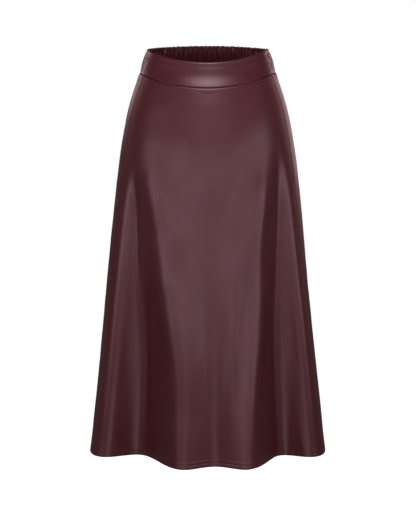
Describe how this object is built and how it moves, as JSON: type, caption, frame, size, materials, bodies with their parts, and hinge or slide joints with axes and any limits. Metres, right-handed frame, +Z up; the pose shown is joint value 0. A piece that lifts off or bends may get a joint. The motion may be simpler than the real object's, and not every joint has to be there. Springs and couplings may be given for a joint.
{
  "type": "leather skirt",
  "caption": "Flared midi skirt in smooth leather, worn and open at waist and hem, with a flat front waistband and a gathered elastic back one.",
  "frame": {"origin": "centre of the waist, at half the height of the waistband's side", "axes": "+Z up towards the waist, front facing -Y, the wearer's left at +X"},
  "size_m": [0.474, 0.3973, 0.8099],
  "materials": {
    "skirt_leather": "smooth burgundy faux leather with a satin sheen",
    "waistband_leather": "the same leather, folded double and pressed flat over interlining",
    "gathered_leather": "the same leather, drawn into fine gathers over elastic"
  },
  "bodies": {
    "root": {"waistband_front": "waistband_leather", "waistband_back": "gathered_leather", "skirt_front": "skirt_leather", "skirt_back": "skirt_leather"}
  },
  "joints": []
}
